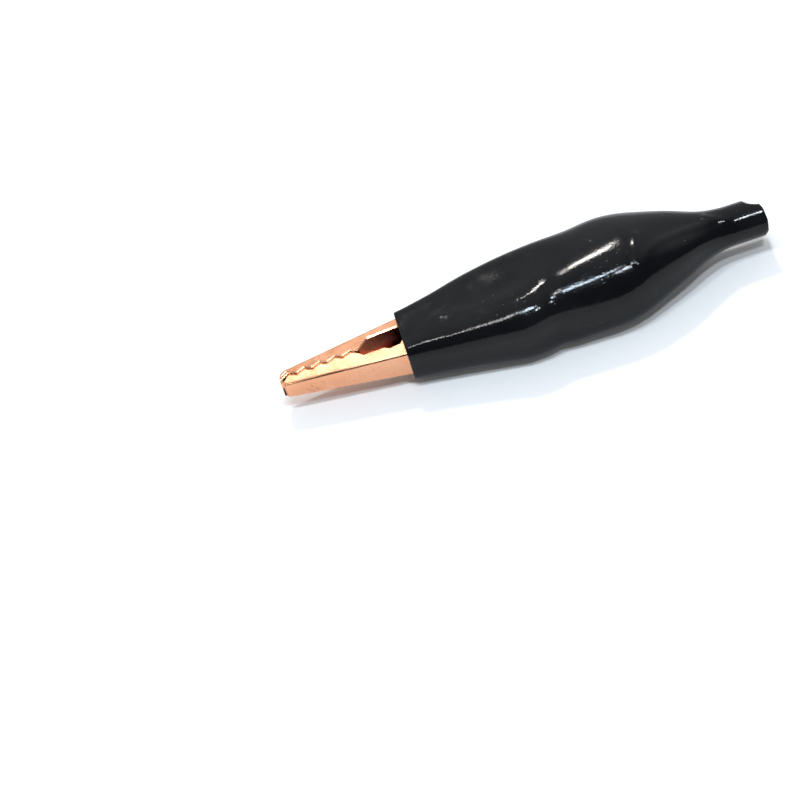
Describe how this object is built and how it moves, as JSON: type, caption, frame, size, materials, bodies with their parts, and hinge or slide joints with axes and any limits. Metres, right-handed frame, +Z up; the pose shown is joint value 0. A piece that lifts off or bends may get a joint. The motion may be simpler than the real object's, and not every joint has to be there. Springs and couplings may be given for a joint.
{
  "type": "insulated alligator clip",
  "caption": "Copper-plated alligator clip with toothed jaws on a hollow rivet, sprung shut, in a soft black boot with an inlet for a test lead.",
  "frame": {"origin": "on the hollow rivet's axis, at the surface that the clip lies on, in the boot's flat underside", "axes": "+X from the nose towards the cable inlet, +Y towards the jaw that is crimped to the lead, +Z up, along the rivet"},
  "size_m": [0.0803, 0.0181, 0.0122],
  "materials": {
    "copper_plate": "bright copper plating on pressed sheet metal",
    "spring_wire": "drawn steel spring wire",
    "black_pvc": "glossy soft PVC with a fine skin texture"
  },
  "bodies": {
    "crimp_side": {"crimp_jaw": "copper_plate", "hollow_rivet": "copper_plate", "torsion_spring": "spring_wire"},
    "thumb_side": {"thumb_jaw": "copper_plate"},
    "boot_sleeve": {"boot": "black_pvc"},
    "boot_thumb_wall": {"boot_flank": "black_pvc"}
  },
  "joints": [
    {"name": "jaw_hinge", "type": "hinge", "parent": "crimp_side", "child": "thumb_side", "pos_m": [0, 0, 0.0047], "axis": [0, 0, 1], "range_deg": [0, 30], "stiffness_Nm_per_rad": 0.12, "springref_deg": -34.38, "deforming": ["torsion_spring", "boot", "boot_flank"]},
    {"name": "boot_slide", "type": "slide", "parent": "crimp_side", "child": "boot_sleeve", "axis": [1, 0, 0], "range_m": [0, 0.06]},
    {"name": "boot_flex", "type": "hinge", "parent": "boot_sleeve", "child": "boot_thumb_wall", "pos_m": [0, 0, 0.0047], "axis": [0, 0, 1], "range_deg": [0, 30]}
  ],
  "couplings": [
    {"joint": "boot_flex", "follows": "jaw_hinge", "ratio": 1}
  ]
}
